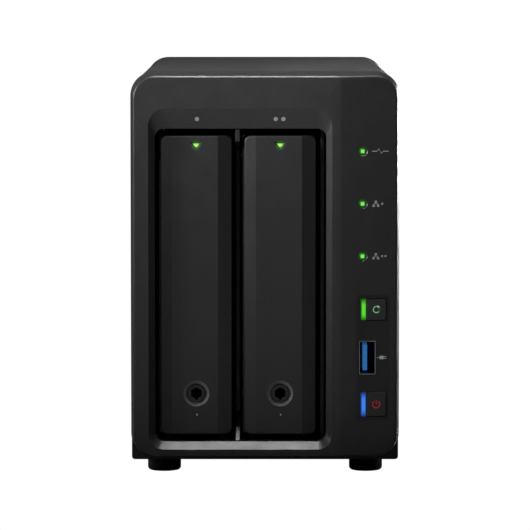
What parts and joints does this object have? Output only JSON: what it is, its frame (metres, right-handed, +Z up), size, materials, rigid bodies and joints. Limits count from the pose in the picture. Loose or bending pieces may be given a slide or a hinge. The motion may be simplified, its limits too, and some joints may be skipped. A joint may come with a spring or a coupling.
{
  "type": "network attached storage unit",
  "caption": "Upright desktop storage unit with side-by-side lockable drive trays, front buttons, status lights and a rear fan.",
  "frame": {"origin": "middle of the footprint, on the surface that the feet stand on", "axes": "+Z up, -Y out of the front, +X to the right when looking at the front"},
  "size_m": [0.1036, 0.232, 0.157],
  "materials": {
    "black_plastic": "black moulded plastic",
    "blue_light": "blue light guide",
    "bright_metal": "nickel-plated steel",
    "button_plastic": "dark satin plastic",
    "cage_black": "dark plastic frame",
    "case_paint": "dark charcoal powder coat",
    "circuit_board": "green circuit board",
    "dark_metal": "black screws",
    "drive_casting": "cast aluminium",
    "drive_cover": "stamped steel lid",
    "foot_rubber": "black rubber",
    "green_light": "green light guide",
    "heat_sink_metal": "anodised aluminium",
    "lock_plastic": "black satin plastic",
    "panel_plastic": "dark charcoal, fine matte texture",
    "platter_metal": "polished platter",
    "tray_black": "black plastic",
    "tray_plastic": "dark charcoal, fine matte texture",
    "usb_blue": "blue plastic tongue"
  },
  "bodies": {
    "root": {"backplane_board": "circuit_board", "base_pan": "case_paint", "button_switches": "black_plastic", "cage_bottom_plate": "cage_black", "cage_divider": "cage_black", "cage_left_wall": "cage_black", "cage_right_wall": "cage_black", "cage_top_plate": "cage_black", "case_cover": "case_paint", "coin_cell": "bright_metal", "control_board": "circuit_board", "copy_light_bar": "green_light", "drive_sockets": "black_plastic", "fan_frame": "black_plastic", "fan_screws": "bright_metal", "front_panel": "panel_plastic", "guide_rails": "black_plastic", "heat_sink": "heat_sink_metal", "lan_port_1": "bright_metal", "lan_port_2": "bright_metal", "main_board": "circuit_board", "memory_module": "circuit_board", "memory_socket": "black_plastic", "power_jack": "black_plastic", "power_light_bar": "blue_light", "processor": "black_plastic", "rear_panel": "case_paint", "rear_screws": "dark_metal", "reset_switch": "black_plastic", "rubber_feet": "foot_rubber", "status_light_pipes": "green_light", "usb_port_front": "bright_metal", "usb_ports_rear": "bright_metal", "usb_tongue_front": "usb_blue", "usb_tongues_rear": "usb_blue"},
    "tray_1": {"tray_frame_1": "tray_black", "hinge_pin_1": "bright_metal", "drive_body_1": "drive_casting", "drive_cover_1": "drive_cover", "drive_board_1": "circuit_board", "drive_screws_1": "bright_metal", "drive_platters_1": "platter_metal"},
    "handle_1": {"tray_handle_1": "tray_plastic", "tray_lamp_1": "green_light"},
    "lock_1": {"tray_lock_1": "lock_plastic"},
    "tray_2": {"tray_frame_2": "tray_black", "hinge_pin_2": "bright_metal", "drive_body_2": "drive_casting", "drive_cover_2": "drive_cover", "drive_board_2": "circuit_board", "drive_screws_2": "bright_metal", "drive_platters_2": "platter_metal"},
    "handle_2": {"tray_handle_2": "tray_plastic", "tray_lamp_2": "green_light"},
    "lock_2": {"tray_lock_2": "lock_plastic"},
    "copy_button": {"copy_button": "button_plastic"},
    "power_button": {"power_button": "button_plastic"},
    "reset_button": {"reset_button": "black_plastic"},
    "fan_rotor": {"fan_rotor": "black_plastic"}
  },
  "joints": [
    {"name": "tray_1_slide", "type": "slide", "parent": "root", "child": "tray_1", "axis": [0, -1, 0], "range_m": [0, 0.175]},
    {"name": "handle_1_hinge", "type": "hinge", "parent": "tray_1", "child": "handle_1", "pos_m": [-0.0263, -0.1076, 0.1275], "axis": [-1, 0, 0], "range_deg": [0, 45]},
    {"name": "lock_1_turn", "type": "hinge", "parent": "handle_1", "child": "lock_1", "pos_m": [-0.0263, -0.11, 0.034], "axis": [0, -1, 0], "range_deg": [-90, 0]},
    {"name": "tray_2_slide", "type": "slide", "parent": "root", "child": "tray_2", "axis": [0, -1, 0], "range_m": [0, 0.175]},
    {"name": "handle_2_hinge", "type": "hinge", "parent": "tray_2", "child": "handle_2", "pos_m": [0.0058, -0.1076, 0.1275], "axis": [-1, 0, 0], "range_deg": [0, 45]},
    {"name": "lock_2_turn", "type": "hinge", "parent": "handle_2", "child": "lock_2", "pos_m": [0.0058, -0.11, 0.034], "axis": [0, -1, 0], "range_deg": [-90, 0]},
    {"name": "copy_button_press", "type": "slide", "parent": "root", "child": "copy_button", "axis": [0, 1, 0], "range_m": [0, 0.0008], "stiffness_N_per_m": 600},
    {"name": "power_button_press", "type": "slide", "parent": "root", "child": "power_button", "axis": [0, 1, 0], "range_m": [0, 0.0008], "stiffness_N_per_m": 600},
    {"name": "reset_button_press", "type": "slide", "parent": "root", "child": "reset_button", "axis": [0, -1, 0], "range_m": [0, 0.0005], "stiffness_N_per_m": 600},
    {"name": "fan_spin", "type": "hinge", "parent": "root", "child": "fan_rotor", "pos_m": [-0.012, 0.1, 0.104], "axis": [0, 1, 0], "continuous": true}
  ]
}
